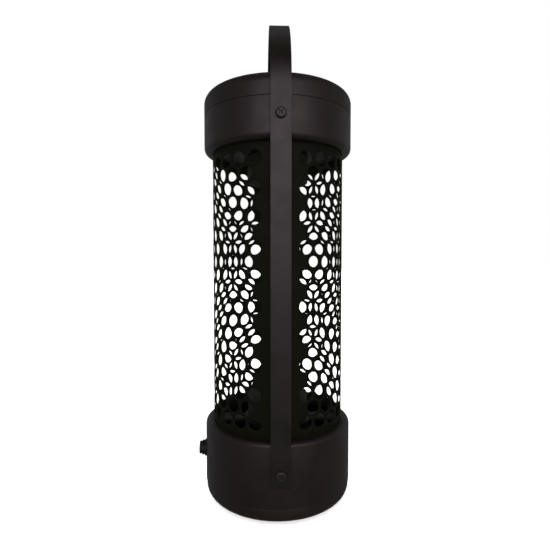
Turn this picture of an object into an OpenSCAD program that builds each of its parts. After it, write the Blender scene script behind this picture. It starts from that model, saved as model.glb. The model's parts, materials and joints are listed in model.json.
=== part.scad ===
// Cylindrical electric insect killer: a rolled, perforated sheet cage between a
// moulded base and cap, carried by a steel strap that runs over the top.
// Origin: centre of the footprint on the floor, +Z up, -Y the front strap leg.

/* [Body] */
// Outside diameter of the base and the cap
body_d = 130; // [116:1:156]
// Height of the base, catch tray included
base_h = 67; // [56:1:80]
// Height of the cage that shows between base and cap
cage_h = 235; // [190:5:285]
// Height of the side band of the cap
cap_band_h = 32.5; // [27:0.5:39]
// Height of the lid on the cap
lid_h = 19.5; // [16:0.5:24]
// Wall of the moulded housings
wall = 2.5; // [2:0.1:3]
// Radius of the rounded upper edge of the base
base_lip_r = 3.8; // [1:0.1:5]
// Radius of the rounded lower edge of the cap
cap_lip_r = 5.2; // [1:0.1:6]
// Radius of the rounded top edge of the lid
lid_edge_r = 9.3; // [3:0.1:12]

/* [Cage] */
// Outside diameter of the perforated cage
cage_d = 115.6; // [98:0.2:118]
// Thickness of the cage sheet
sheet_t = 0.8; // [0.5:0.1:1.2]
// Diameter of one perforation
hole_d = 11.3; // [8:0.1:11.6]
// Spacing of the perforations round a row
hole_pitch = 14; // [13:0.1:18]
// Height between two staggered rows
row_pitch = 11.75; // [10:0.05:14]
// Width of the plain band left behind each strap leg
plain_band_w = 24; // [18:1:40]
// Least plain edge between a row's centre line and the base or cap
edge_margin = 11; // [8:0.5:16]

/* [Catch tray] */
// Height of the tray, up to its seam with the base
tray_h = 14; // [11:0.5:17]
// Radius of the rounded bottom edge of the tray
tray_edge_r = 8.6; // [3:0.1:9]
// How far the tray stands in from the base wall
tray_step = 0.6; // [0.3:0.1:1.5]
// Thickness of the tray floor
tray_floor_t = 2.6; // [2:0.1:4]
// Height of the rim that plugs into the base
spigot_h = 8; // [5:0.5:9]

/* [Strap handle] */
// Width of the steel strap
strap_w = 16; // [12:0.5:20]
// Thickness of the steel strap
strap_t = 2; // [1.5:0.1:3]
// How far below the lid's top the strap starts to bend into its arch
arch_drop = 11.4; // [8:0.2:14]
// Height of the strap's lower end above the floor
strap_foot_z = 32; // [26:1:38]
// Distance from the strap's lower end to its lower screw
strap_end = 10.5; // [8:0.5:12]
// Distance from the upper screw to the upper edge of the cap's band
cap_screw_down = 14.5; // [13:0.5:20]
// Head diameter of the strap screws
head_d = 8.6; // [7:0.1:10]
// Shank diameter of the strap screws
shank_d = 4; // [3:0.1:5]

/* [Lamp and grid] */
// Diameter of the ultraviolet tube
lamp_d = 16; // [14:0.5:18]
// Diameter of the circle of grid rods
grid_d = 26.4; // [24:0.1:32]
// Diameter of one grid rod
rod_d = 1.6; // [1.2:0.1:2.4]
// Number of grid rods, half of them live
rod_count = 16; // [12:4:20]
// Diameter of the two insulating hubs
hub_d = 54; // [46:1:62]
// Height of the lower hub above the base
lower_hub_h = 22.5; // [20:0.5:30]
// Height of the upper hub below the cap
upper_hub_h = 24; // [20:0.5:30]
// Length of the lamp that is hidden in each socket
lamp_grip = 11.75; // [8:0.25:13]

/* [Power supply] */
// Outside diameter of the power supply pod under the deck
pod_d = 59; // [54:1:62]
// Floor height of the pod
pod_z = 20; // [18:0.5:24]
// Wall of the pod
pod_wall = 2; // [1.5:0.1:2.5]
// Height of the cable gland above the floor
gland_z = 37.5; // [34:0.5:44]
// Diameter of the hole through the cable gland
gland_bore_d = 6.2; // [4:0.1:8]
// How far the gland stands out of the base
gland_out = 6.4; // [4:0.2:7]

/* [Hidden] */

$fn = 96;
fit = 0.1;               // gap between pieces that seat in each other
slip = 0.4;              // gap between a moving piece and its guide
overcut = 1;             // how far a cut runs past the face it opens

body_r = body_d / 2;
inner_r = body_r - wall;
cage_r = cage_d / 2;
hub_r = hub_d / 2;
lamp_r = lamp_d / 2;
grid_r = grid_d / 2;
pod_r = pod_d / 2;

foot_h = 2.2;            // rubber pad, partly let into the tray
foot_proud = 1;          // how far a pad stands below the tray
foot_r = 7;
foot_ring_r = body_r * 0.72;
seam = 0.4;              // open line between tray and base, and between band and lid

deck_t = 5;              // deck that closes the base
deck_shoulder_t = 2.5;   // lower, wider half of the deck, which bears up on the base's flange
flange_r = cage_r + 1.7; // opening of the base's upper flange, just outside the cage
shoulder_r = flange_r + 1.5;
plate_t = 4;             // bottom plate of the cap
cage_seat = 3;           // depth of the grooves that hold the cage
deck_z = base_h - deck_t;
cap_z = base_h + cage_h;
plate_z = cap_z + plate_t;
band_top = cap_z + cap_band_h;
cap_top = band_top + lid_h;

spigot_r = inner_r - slip;
spigot_wall = 2.1;
window_in = max(pod_r, hub_r) + 1.5;
window_out = cage_r - sheet_t - 4;
window_angle = 70;

rows = floor((cage_h - 2 * edge_margin) / row_pitch) + 1;
first_row_z = base_h + (cage_h - (rows - 1) * row_pitch) / 2;
hole_count = 2 * round(PI * cage_d / hole_pitch / 2);
hole_step = 360 / hole_count;

strap_in = body_r + slip;
strap_out = strap_in + strap_t;
arch_z = cap_top - arch_drop;
lower_screw_z = strap_foot_z + strap_end;
upper_screw_z = band_top - cap_screw_down;
boss_r = 5;
boss_l = 6;
nut_t = 3.2;
nut_af = 7;

hub_wall = 2;
hub_plate_t = 2.5;
core_screw_r = 1.5;
column_r = 3.4;
weld = 0.4;              // overlap that joins two shapes of one solid
screw_ring_r = 22;       // long core screws, clear of the sockets and the board
core_angles = [0, 120, 240];
lead_hole_r = 8.2;       // wire holes through the deck and the cap plate, under the sockets

lower_hub_top = base_h + lower_hub_h;
upper_hub_low = cap_z - upper_hub_h;
lamp_low = lower_hub_top - lamp_grip;
lamp_high = upper_hub_low + lamp_grip;
pin_l = 7;
pin_r = 1.2;
pin_half_gap = 2.375;    // half of a G5 base's pin spacing
cap_l = 9;               // metal end cap of the lamp
socket_r = lamp_r + 1.4;
socket_mouth = 6.4;      // how far a socket reaches up round the lamp's end
ring_in = grid_r - 0.9;
ring_out = grid_r + 1.6;
ring_t = 2;
ring_gap = 9;            // from a hub's plate to the ring behind it
lead_tube_r = 1.1;
lead_tube_ring = grid_r + rod_d / 2 + lead_tube_r + 0.3;

board = [36, 30, 1.6];
board_z = pod_z + pod_wall + 8;
board_top = board_z + board[2];

gland_thread_r = gland_bore_d / 2 + 2.8;
gland_r = gland_thread_r + 1.6;
gland_in = 9;            // threaded length inside the wall
gland_nut_r = gland_thread_r + 2.7;
conduit_r = gland_bore_d / 2 + 1.4;
conduit_x = body_r - gland_in - 0.2;

lug_t = 1.3;             // bayonet lugs of the lid
lug_h = 2.2;
lug_angle = 12;
lid_turn = 30;

// ---------- shared shapes ----------

// Disc with rounded lower and upper outside edges, exact in every surface
module rounded_disc(r, h, low_r, high_r) {
  rotate_extrude() {
    translate([0, low_r]) square([r, h - low_r - high_r]);
    if (low_r > 0) {
      square([r - low_r, low_r]);
      intersection() {
        translate([r - low_r, low_r]) circle(low_r);
        square([r, low_r]);
      }
    }
    if (high_r > 0) {
      translate([0, h - high_r]) square([r - high_r, high_r]);
      intersection() {
        translate([r - high_r, h - high_r]) circle(high_r);
        translate([0, h - high_r]) square([r, high_r]);
      }
    }
  }
}

// Upright ring between two radii
module ring(r_in, r_out, h) {
  difference() {
    cylinder(h = h, r = r_out);
    translate([0, 0, -overcut]) cylinder(h = h + 2 * overcut, r = r_in);
  }
}

// Part of a ring, starting at angle zero
module ring_sector(r_in, r_out, h, angle) {
  rotate_extrude(angle = angle) translate([r_in, 0]) square([r_out - r_in, h]);
}

// Places children at each of the core screws
module at_core_screws() {
  for (a = core_angles) rotate([0, 0, a]) translate([screw_ring_r, 0, 0]) children();
}

// Turns children so that their +Z points out of the front and of the back
module front_and_back(z) {
  for (s = [0, 180]) rotate([0, 0, s]) translate([0, 0, z]) rotate([90, 0, 0]) children();
}

// Pan-head screw with a cross recess, its head's seat at z = 0 and its shank downwards
module pan_screw(head_r, head_h, shank_r, shank_l) {
  difference() {
    union() {
      rounded_disc(head_r, head_h, 0, head_h * 0.6);
      translate([0, 0, -shank_l]) cylinder(h = shank_l, r = shank_r);
    }
    for (a = [45, 135]) rotate([0, 0, a])
      translate([-head_r * 0.55, -head_r * 0.12, head_h * 0.45])
        cube([head_r * 1.1, head_r * 0.24, head_h]);
  }
}

// Holes for a strap screw in a housing wall, along +Z from the axis outwards
module strap_screw_hole() {
  translate([0, 0, inner_r - boss_l - overcut])
    cylinder(h = wall + boss_l + 2 * overcut, r = shank_d / 2 + fit);
}

// Boss behind a housing wall for a strap screw
module strap_screw_boss() {
  translate([0, 0, inner_r - boss_l]) cylinder(h = boss_l + wall / 2, r = boss_r);
}

// ---------- catch tray ----------

module catch_tray() {
  tray_r = body_r - tray_step;
  hollow_r = spigot_r - spigot_wall;
  color("#2a2627") difference() {
    union() {
      translate([0, 0, foot_proud])
        rounded_disc(tray_r, tray_h - seam - foot_proud, tray_edge_r, 0.6);
      translate([0, 0, tray_h - seam - overcut]) cylinder(h = spigot_h + overcut, r = spigot_r);
    }
    translate([0, 0, foot_proud + tray_floor_t])
      rounded_disc(hollow_r, tray_h + spigot_h, tray_edge_r - tray_floor_t, 0);
    foot_places() translate([0, 0, -overcut]) cylinder(h = foot_h + overcut, r = foot_r + fit);
  }
}

// Four pads near the rim and one in the middle, which keeps the thin floor from sagging
module foot_places() {
  for (a = [45:90:315]) rotate([0, 0, a]) translate([foot_ring_r, 0, 0]) children();
  children();
}

module feet() {
  color("#151515") foot_places() rounded_disc(foot_r, foot_h, 0.5, 0);
}

// ---------- base ----------

module base_housing() {
  color("#2e2a2b") difference() {
    union() {
      difference() {
        translate([0, 0, tray_h]) rounded_disc(body_r, base_h - tray_h, 0.8, base_lip_r);
        translate([0, 0, tray_h - overcut]) cylinder(h = deck_z - tray_h + overcut, r = inner_r);
        translate([0, 0, deck_z - overcut])
          cylinder(h = deck_shoulder_t + overcut, r = shoulder_r);
        translate([0, 0, deck_z]) cylinder(h = deck_t + overcut, r = flange_r);
      }
      front_and_back(lower_screw_z) strap_screw_boss();
    }
    front_and_back(lower_screw_z) strap_screw_hole();
    gland_place() translate([0, 0, inner_r - overcut])
      cylinder(h = wall + 2 * overcut, r = gland_thread_r + fit);
    finger_notches();
  }
}

// Plate that carries the cage, the hub and the pod, glued up into the base's flange
module deck_plate() {
  color("#2c2829") difference() {
    union() {
      translate([0, 0, deck_z]) cylinder(h = deck_t, r = flange_r - fit);
      translate([0, 0, deck_z]) cylinder(h = deck_shoulder_t - fit, r = shoulder_r - fit);
    }
    translate([0, 0, base_h - cage_seat])
      ring(cage_r - sheet_t - fit, cage_r + fit, cage_seat + overcut);
    for (a = [45:90:315]) rotate([0, 0, a - window_angle / 2])
      translate([0, 0, deck_z - overcut])
        ring_sector(window_in, window_out, deck_t + 2 * overcut, window_angle);
    at_core_screws() translate([0, 0, deck_z - overcut])
      cylinder(h = deck_t + 2 * overcut, r = core_screw_r + fit);
    translate([0, 0, deck_z - overcut]) cylinder(h = deck_t + 2 * overcut, r = lead_hole_r);
  }
}

// Shallow notches at the tray's seam, one on each side
module finger_notches() {
  for (s = [0, 180]) rotate([0, 0, s])
    translate([body_r - 0.8, -9, tray_h + 1.5]) cube([2, 18, 4.5]);
}

// Turns children so that +Z points out of the left side at the gland's height
module gland_place() {
  translate([0, 0, gland_z]) rotate([0, -90, 0]) children();
}

module cord_gland() {
  color("#1c1c1c") gland_place() difference() {
    union() {
      translate([0, 0, body_r - gland_in]) cylinder(h = gland_in + fit + weld, r = gland_thread_r);
      translate([0, 0, body_r + fit]) gland_rings();
    }
    translate([0, 0, body_r - gland_in - overcut])
      cylinder(h = gland_in + gland_out + 2 * overcut, r = gland_bore_d / 2);
  }
}

// Three stepped rings with grooves between them, narrowing outwards
module gland_rings() {
  ring_count = 3;
  ring_h = gland_out / (ring_count + 1);
  groove = (gland_out - fit - ring_count * ring_h) / (ring_count - 1);
  for (i = [0:ring_count - 1]) translate([0, 0, i * (ring_h + groove)]) {
    if (i < ring_count - 1)
      cylinder(h = ring_h + groove + weld, r = gland_r - 1.7 - 0.7 * i);
    rounded_disc(gland_r - 0.85 * i, ring_h, 0.2, 0.4);
  }
}

module gland_nut() {
  color("#3a3a3a") gland_place() translate([0, 0, inner_r - 4.4]) difference() {
    cylinder(h = 3.6, r = gland_nut_r, $fn = 6);
    translate([0, 0, -overcut]) cylinder(h = 3.6 + 2 * overcut, r = gland_thread_r + fit);
  }
}

module lead_conduit() {
  color("#3b3b3b") gland_place() translate([0, 0, pod_r + fit])
    ring(conduit_r - 1.2, conduit_r, conduit_x - pod_r - 2 * fit);
}

// ---------- cage ----------

module cage_tube() {
  color("#262324") difference() {
    translate([0, 0, base_h - cage_seat])
      ring(cage_r - sheet_t, cage_r, cage_h + 2 * cage_seat);
    for (row = [0:rows - 1]) perforation_row(row);
  }
}

// Angle between a hole and the nearest strap leg's centre line
function off_strap(a) = min(abs(a), 360 - abs(a), abs(a - 180));

// One row of holes, every other row half a step on, none behind the strap
module perforation_row(row) {
  shift = row % 2 == 0 ? 0.5 : 0;
  for (i = [0:hole_count - 1]) {
    a = (i + shift) * hole_step;
    if (off_strap(a) * PI / 180 * cage_r - hole_d / 2 > plain_band_w / 2)
      rotate([0, 0, a - 90]) translate([cage_r - 3, 0, first_row_z + row * row_pitch])
        rotate([0, 90, 0]) cylinder(h = 6, r = hole_d / 2, $fn = 32);
  }
}

// ---------- cap ----------

module cap_band() {
  color("#2e2a2b") difference() {
    union() {
      difference() {
        translate([0, 0, cap_z]) rounded_disc(body_r, cap_band_h, cap_lip_r, 0.5);
        translate([0, 0, plate_z]) cylinder(h = cap_band_h, r = inner_r);
      }
      intersection() {
        translate([0, 0, cap_z]) cylinder(h = plate_t + cap_lip_r, r = body_r - cap_lip_r / 2);
        translate([0, 0, plate_z - overcut])
          ring(inner_r - cap_lip_r, inner_r + 0.2, cap_lip_r);
      }
      front_and_back(upper_screw_z) strap_screw_boss();
    }
    front_and_back(upper_screw_z) strap_screw_hole();
    translate([0, 0, cap_z - overcut])
      ring(cage_r - sheet_t - fit, cage_r + fit, cage_seat + overcut);
    at_core_screws() translate([0, 0, cap_z - overcut])
      cylinder(h = plate_t + 2 * overcut, r = core_screw_r + fit);
    choke_screw_places() translate([0, 0, cap_z + 1.5])
      cylinder(h = plate_t, r = 1.3 + fit);
    translate([0, 0, cap_z - overcut]) cylinder(h = plate_t + 2 * overcut, r = lead_hole_r);
    lid_grooves();
  }
}

// L-shaped bayonet grooves inside the band
module lid_grooves() {
  groove_z = band_top - 5.6;
  for (a = core_angles) rotate([0, 0, a]) {
    translate([0, 0, groove_z]) rotate([0, 0, -1.5])
      ring_sector(inner_r - overcut, inner_r - slip + lug_t + 0.4, lug_h + 0.8,
        lid_turn + lug_angle + 3);
    translate([0, 0, groove_z]) rotate([0, 0, lid_turn - 1.5])
      ring_sector(inner_r - overcut, inner_r - slip + lug_t + 0.4, 6 + overcut, lug_angle + 3);
  }
}

module lid() {
  color("#282425") {
    difference() {
      union() {
        translate([0, 0, band_top + seam]) rounded_disc(body_r, lid_h - seam, 0.5, lid_edge_r);
        translate([0, 0, band_top - spigot_h]) cylinder(h = spigot_h + seam + overcut, r = spigot_r);
      }
      translate([0, 0, band_top - spigot_h - overcut])
        rounded_disc(spigot_r - spigot_wall, spigot_h + overcut + lid_h - wall, 0,
          lid_edge_r - wall);
    }
    for (a = core_angles) rotate([0, 0, a]) translate([0, 0, band_top - 5.2])
      ring_sector(spigot_r - 1, spigot_r + lug_t, lug_h, lug_angle);
  }
}

// ---------- strap handle ----------

module strap_handle() {
  color("#33302f") difference() {
    union() {
      translate([0, 0, arch_z]) rotate([90, 0, 90])
        rotate_extrude(angle = 180) translate([strap_in, -strap_w / 2]) square([strap_t, strap_w]);
      front_and_back(0) translate([0, 0, strap_in]) strap_leg();
    }
    front_and_back(lower_screw_z) translate([0, 0, strap_in - overcut])
      cylinder(h = strap_t + 2 * overcut, r = shank_d / 2 + 0.3);
    front_and_back(upper_screw_z) translate([0, 0, strap_in - overcut])
      cylinder(h = strap_t + 2 * overcut, r = shank_d / 2 + 0.3);
  }
}

// Flat leg with rounded lower corners, drawn in X and Y and raised by its thickness
module strap_leg() {
  corner_r = 3;
  linear_extrude(strap_t) {
    translate([-strap_w / 2, strap_foot_z + corner_r])
      square([strap_w, arch_z - strap_foot_z - corner_r]);
    translate([-strap_w / 2 + corner_r, strap_foot_z])
      square([strap_w - 2 * corner_r, corner_r]);
    for (s = [-1, 1]) translate([s * (strap_w / 2 - corner_r), strap_foot_z + corner_r])
      circle(corner_r);
  }
}

module strap_screw() {
  translate([0, 0, strap_out]) pan_screw(head_d / 2, 2.3, shank_d / 2, strap_out - inner_r + 11);
}

module strap_screws_lower() {
  color("#3a3634") front_and_back(lower_screw_z) strap_screw();
}

module strap_screws_upper() {
  color("#3a3634") front_and_back(upper_screw_z) strap_screw();
}

module strap_nuts() {
  color("#8f8f8f") for (z = [lower_screw_z, upper_screw_z]) front_and_back(z)
    translate([0, 0, inner_r - boss_l - nut_t]) difference() {
      cylinder(h = nut_t, r = nut_af / sqrt(3), $fn = 6);
      translate([0, 0, -overcut]) cylinder(h = nut_t + 2 * overcut, r = shank_d / 2 + 0.05);
    }
}

// ---------- hubs, lamp and grid ----------

// Cup that opens downwards, its plate drilled for the lamp, the rods and the lead tube
module hub(h) {
  difference() {
    union() {
      difference() {
        rounded_disc(hub_r, h, 0, 2);
        translate([0, 0, -overcut]) cylinder(h = h - hub_plate_t + overcut, r = hub_r - hub_wall);
      }
      at_core_screws() cylinder(h = h - hub_plate_t + 0.5, r = column_r);
    }
    translate([0, 0, -overcut]) cylinder(h = h + 2 * overcut, r = lamp_r + 0.6);
    for (i = [0:rod_count - 1]) rotate([0, 0, i * 360 / rod_count]) translate([grid_r, 0, 0])
      translate([0, 0, h - hub_plate_t - overcut])
        cylinder(h = hub_plate_t + 2 * overcut, r = rod_d / 2 + fit);
    lead_tube_place() translate([0, 0, h - hub_plate_t - overcut])
      cylinder(h = hub_plate_t + 2 * overcut, r = lead_tube_r + fit);
    at_core_screws() translate([0, 0, -overcut]) cylinder(h = 12 + overcut, r = core_screw_r + fit);
  }
}

module lead_tube_place() {
  rotate([0, 0, 180 / rod_count]) translate([lead_tube_ring, 0, 0]) children();
}

module lower_hub() {
  color("#4a4745") translate([0, 0, base_h]) hub(lower_hub_h);
}

module upper_hub() {
  color("#4a4745") translate([0, 0, cap_z]) mirror([0, 0, 1]) hub(upper_hub_h);
}

// Two-pin socket that stands on z = 0 and takes the lamp's end from above
module lamp_socket(end_z) {
  difference() {
    rounded_disc(socket_r, end_z + socket_mouth, 0, 0.5);
    translate([0, 0, end_z - fit]) cylinder(h = socket_mouth + overcut, r = lamp_r + 0.3);
    for (s = [-1, 1]) translate([s * pin_half_gap, 0, end_z - pin_l - 0.8])
      cylinder(h = pin_l + 2, r = pin_r + fit);
  }
}

module lower_lamp_socket() {
  color("#e4e0d6") translate([0, 0, base_h]) lamp_socket(lamp_low - base_h);
}

module upper_lamp_socket() {
  color("#e4e0d6") translate([0, 0, cap_z]) mirror([0, 0, 1]) lamp_socket(cap_z - lamp_high);
}

module lamp_glass() {
  color("#c9c6e6") translate([0, 0, lamp_low + cap_l + fit]) difference() {
    rounded_disc(lamp_r - 0.1, lamp_high - lamp_low - 2 * cap_l - 2 * fit, 1, 1);
    translate([0, 0, 0.9])
      rounded_disc(lamp_r - 1, lamp_high - lamp_low - 2 * cap_l - 2 * fit - 1.8, 0.5, 0.5);
  }
}

module lamp_end_caps() {
  color("#b9bcc0") {
    translate([0, 0, lamp_low]) rounded_disc(lamp_r, cap_l, 0.8, 0);
    translate([0, 0, lamp_high - cap_l]) rounded_disc(lamp_r, cap_l, 0, 0.8);
  }
}

module lamp_pins() {
  color("#c8b98a") for (s = [-1, 1]) translate([s * pin_half_gap, 0, 0]) {
    translate([0, 0, lamp_low - pin_l]) cylinder(h = pin_l, r = pin_r);
    translate([0, 0, lamp_high]) cylinder(h = pin_l, r = pin_r);
  }
}

// Every other rod of the cage, from one height to another
module grid_rods(first, low, high) {
  for (i = [first:2:rod_count - 1]) rotate([0, 0, i * 360 / rod_count])
    translate([grid_r, 0, low]) cylinder(h = high - low, r = rod_d / 2);
}

live_ring_z = lower_hub_top - hub_plate_t - ring_gap;
return_ring_z = upper_hub_low + hub_plate_t + ring_gap - ring_t;

module grid_rods_live() {
  color("#8d9093") grid_rods(0, live_ring_z + ring_t, upper_hub_low + hub_plate_t + 4);
}

module grid_rods_return() {
  color("#8d9093") grid_rods(1, lower_hub_top - hub_plate_t - 4, return_ring_z);
}

module live_ring() {
  color("#a98b52") translate([0, 0, live_ring_z]) ring(ring_in, ring_out, ring_t);
}

module return_ring() {
  color("#a98b52") translate([0, 0, return_ring_z]) ring(ring_in, ring_out, ring_t);
}

module upper_lead_tube() {
  color("#6d7073") lead_tube_place() translate([0, 0, lower_hub_top - hub_plate_t - 5])
    cylinder(h = upper_hub_low - lower_hub_top + 2 * hub_plate_t + 10, r = lead_tube_r);
}

// ---------- power supply in the base ----------

module supply_pod() {
  color("#3b3735") difference() {
    union() {
      translate([0, 0, pod_z]) difference() {
        rounded_disc(pod_r, deck_z - pod_z, 2.5, 0);
        translate([0, 0, pod_wall]) cylinder(h = deck_z, r = pod_r - pod_wall);
      }
      at_core_screws() translate([0, 0, pod_z + 1]) cylinder(h = deck_z - pod_z - 1, r = column_r);
      board_posts() cylinder(h = board_z - pod_z - 1, r = 2);
    }
    at_core_screws() {
      translate([0, 0, pod_z - overcut])
        cylinder(h = deck_z - pod_z + 2 * overcut, r = core_screw_r + fit);
      translate([0, 0, pod_z - overcut]) cylinder(h = 2.4 + overcut, r = 2.9);
    }
    gland_place() translate([0, 0, pod_r - pod_wall - overcut])
      cylinder(h = pod_wall + 2 * overcut, r = conduit_r - 1.2);
  }
}

module board_posts() {
  for (x = [-1, 1]) for (y = [-1, 1])
    translate([x * (board[0] / 2 - 3), y * (board[1] / 2 - 3), pod_z + 1]) children();
}

// Long screws through the pod and the deck into the lower hub
module core_screws() {
  color("#9a9a9a") at_core_screws() translate([0, 0, pod_z + 2.4]) mirror([0, 0, 1])
    pan_screw(2.7, 1.9, core_screw_r, base_h + 11 - pod_z - 2.4);
}

module upper_hub_screws() {
  color("#9a9a9a") at_core_screws() translate([0, 0, plate_z])
    pan_screw(2.7, 1.9, core_screw_r, plate_t + 11);
}

module circuit_board() {
  color("#3d6b3a") translate([-board[0] / 2, -board[1] / 2, board_z]) cube(board);
}

module hv_capacitors() {
  color("#b5622a") for (x = [-9, 1, 11]) translate([x, 9, board_top])
    rounded_disc(4.2, 17, 0.6, 0.8);
}

module diode_chain() {
  color("#202020") for (x = [-12:6:12]) translate([x, 1.5, board_top + 1.5]) rotate([-90, 0, 0])
    translate([0, 0, -2.5]) cylinder(h = 5, r = 1.35);
}

module hv_transformer() {
  color("#5b5348") translate([2, -13.5, board_top]) {
    cube([15, 11.5, 4]);
    translate([1.5, 1.5, 4]) cube([12, 8.5, 8]);
    translate([0, 0, 12]) cube([15, 11.5, 3]);
  }
}

module terminal_block() {
  color("#d8d4c8") translate([-17, -12.5, board_top]) difference() {
    cube([11, 9, 10]);
    for (x = [3, 8]) translate([x, 4.5, 5]) cylinder(h = 6, r = 1.7);
  }
}

module fuse() {
  color("#cfd3d6") translate([-3, -8, board_top + 3]) rotate([90, 0, 0])
    translate([0, 0, -6]) cylinder(h = 12, r = 2.6);
}

// ---------- lamp gear in the cap ----------

choke_x = -33;
choke = [32, 40, 22];

module choke_core() {
  color("#6f7377") translate([choke_x, 0, plate_z]) difference() {
    translate([-choke[0] / 2, -choke[1] / 2, 0]) cube(choke);
    for (s = [-1, 1]) translate([-choke[0] / 2 - overcut, s * 11 - 3.5, 4])
      cube([choke[0] + 2 * overcut, 7, choke[2] - 8]);
    for (s = [-1, 1]) translate([0, s * (choke[1] / 2 - 3), -overcut])
      cylinder(h = choke[2] + 2 * overcut, r = 1.3 + fit);
  }
}

// Winding round the middle limb of the core
module choke_coil() {
  color("#9c5a2b") translate([choke_x, 0, plate_z + 4 + fit]) difference() {
    translate([-choke[0] / 2 - 4, -14.2, 0]) cube([choke[0] + 8, 28.4, choke[2] - 8 - 2 * fit]);
    translate([-choke[0] / 2 - fit, -7.6, -overcut])
      cube([choke[0] + 2 * fit, 15.2, choke[2]]);
  }
}

module choke_screw_places() {
  for (s = [-1, 1]) translate([choke_x, s * (choke[1] / 2 - 3), 0]) children();
}

module choke_screws() {
  color("#9a9a9a") choke_screw_places() translate([0, 0, plate_z + choke[2]])
    pan_screw(2.6, 1.8, 1.3, choke[2] + plate_t - 2);
}

starter_x = 38;

module glow_starter() {
  color("#dcdcd8") translate([starter_x, -18, plate_z + 12]) rotate([-90, 0, 0])
    rounded_disc(10.5, 33, 0.6, 1.5);
}

module starter_socket() {
  color("#e4e0d6") translate([starter_x - 11, 15.2, plate_z]) cube([22, 5, 23]);
}

// ---------- wiring ----------

// Two tails from the board to the conduit's mouth, clear of the gland's bore
module mains_leads() {
  color("#7a2f22") gland_place() for (y = [-1.2, 1.2]) translate([0, y, board[0] / 2])
    cylinder(h = conduit_x - 1 - board[0] / 2, r = 0.8);
}

module lamp_leads() {
  color("#c9c3b0") for (x = [-4.9, -3.1]) translate([x, 5.2, board_top])
    cylinder(h = base_h - fit - board_top, r = 0.7);
}

catch_tray();
feet();
base_housing();
deck_plate();
cage_tube();
cap_band();
lid();
strap_handle();
strap_screws_lower();
strap_screws_upper();
strap_nuts();
lower_hub();
upper_hub();
lower_lamp_socket();
upper_lamp_socket();
lamp_glass();
lamp_end_caps();
lamp_pins();
grid_rods_live();
grid_rods_return();
live_ring();
return_ring();
upper_lead_tube();
supply_pod();
core_screws();
upper_hub_screws();
circuit_board();
hv_capacitors();
diode_chain();
hv_transformer();
terminal_block();
fuse();
cord_gland();
gland_nut();
lead_conduit();
choke_core();
choke_coil();
choke_screws();
glow_starter();
starter_socket();
mains_leads();
lamp_leads();
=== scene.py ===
# %% [markdown]
# # A lantern-shaped electric insect killer
# The object is a rolled, perforated sheet cage between a moulded base and cap, carried by a
# steel strap that goes over the top. The working model gives every place and size here, so
# this script only builds the surfaces and finishes that the eye meets. All lengths are in
# metres, and `mm` turns a workshop size into them.

# %% Load the frame
import json
import math

import bmesh
import bpy
from mathutils import Matrix, Vector


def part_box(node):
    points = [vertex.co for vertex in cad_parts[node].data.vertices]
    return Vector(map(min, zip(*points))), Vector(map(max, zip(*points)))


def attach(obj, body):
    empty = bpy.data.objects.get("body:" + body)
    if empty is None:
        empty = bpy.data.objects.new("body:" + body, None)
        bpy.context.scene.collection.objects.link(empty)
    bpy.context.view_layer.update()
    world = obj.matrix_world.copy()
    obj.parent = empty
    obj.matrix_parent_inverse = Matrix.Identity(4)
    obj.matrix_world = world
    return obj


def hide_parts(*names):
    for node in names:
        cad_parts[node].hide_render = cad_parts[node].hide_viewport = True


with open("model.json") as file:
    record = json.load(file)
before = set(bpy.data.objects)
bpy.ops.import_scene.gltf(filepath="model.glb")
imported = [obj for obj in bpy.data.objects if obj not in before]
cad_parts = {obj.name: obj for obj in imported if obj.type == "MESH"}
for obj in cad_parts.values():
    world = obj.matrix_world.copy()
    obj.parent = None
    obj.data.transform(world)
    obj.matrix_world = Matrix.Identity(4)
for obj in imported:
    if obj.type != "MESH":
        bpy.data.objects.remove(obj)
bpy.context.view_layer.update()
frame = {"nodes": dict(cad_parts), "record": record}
mm = 0.001

# %% [markdown]
# ## Camera
# A product shot is taken from near the middle of the object's height and from close by, so
# that the base is seen from above and the cap from below. The camera stands a little to the
# left of the strap, and the lens is a moderate wide angle.

# %% Camera
view_turn = math.radians(-2.25)
view_distance = 400 * mm
view_height = 210.6 * mm
view_pitch = math.radians(2.4)

camera_data = bpy.data.cameras.new("camera")
camera_data.sensor_width = 36
camera_data.lens = 28.7
camera_data.shift_x = -0.0046
camera_data.shift_y = 0.0043
camera_data.clip_start = 0.01
camera = bpy.data.objects.new("camera", camera_data)
camera.location = (math.sin(view_turn) * view_distance, -math.cos(view_turn) * view_distance,
                   view_height)
camera.rotation_euler = (math.pi / 2 - view_pitch, 0, view_turn)
bpy.context.scene.collection.objects.link(camera)
bpy.context.scene.camera = camera
print("camera at", [round(v, 3) for v in camera.location])

# %% [markdown]
# ## Helpers for nodes
# Every material and every Geometry Nodes tree below is written with one small function. It
# adds a node, sets its properties, and fills each input either with a value or with a link.
# A node given as an input stands for its first output, which keeps long sums readable.
# Colours are typed as sRGB hex, as in a paint chart, and turned to linear light once.

# %% Node and colour helpers
def add(tree, kind, inputs=None, **settings):
    """Adds a node; an input given a node or a socket is linked, any other value is set."""
    node = tree.nodes.new(kind)
    for name, value in settings.items():
        setattr(node, name, value)
    for key, value in (inputs or {}).items():
        if isinstance(value, bpy.types.Node):
            value = value.outputs[0]
        if isinstance(value, bpy.types.NodeSocket):
            tree.links.new(value, node.inputs[key])
        else:
            node.inputs[key].default_value = value
    return node


def linear(hex_colour):
    """sRGB hex to the linear RGBA that shaders work in."""
    channels = [int(hex_colour[i:i + 2], 16) / 255 for i in (1, 3, 5)]
    return [c / 12.92 if c <= 0.04045 else ((c + 0.055) / 1.055) ** 2.4 for c in channels] + [1]


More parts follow.
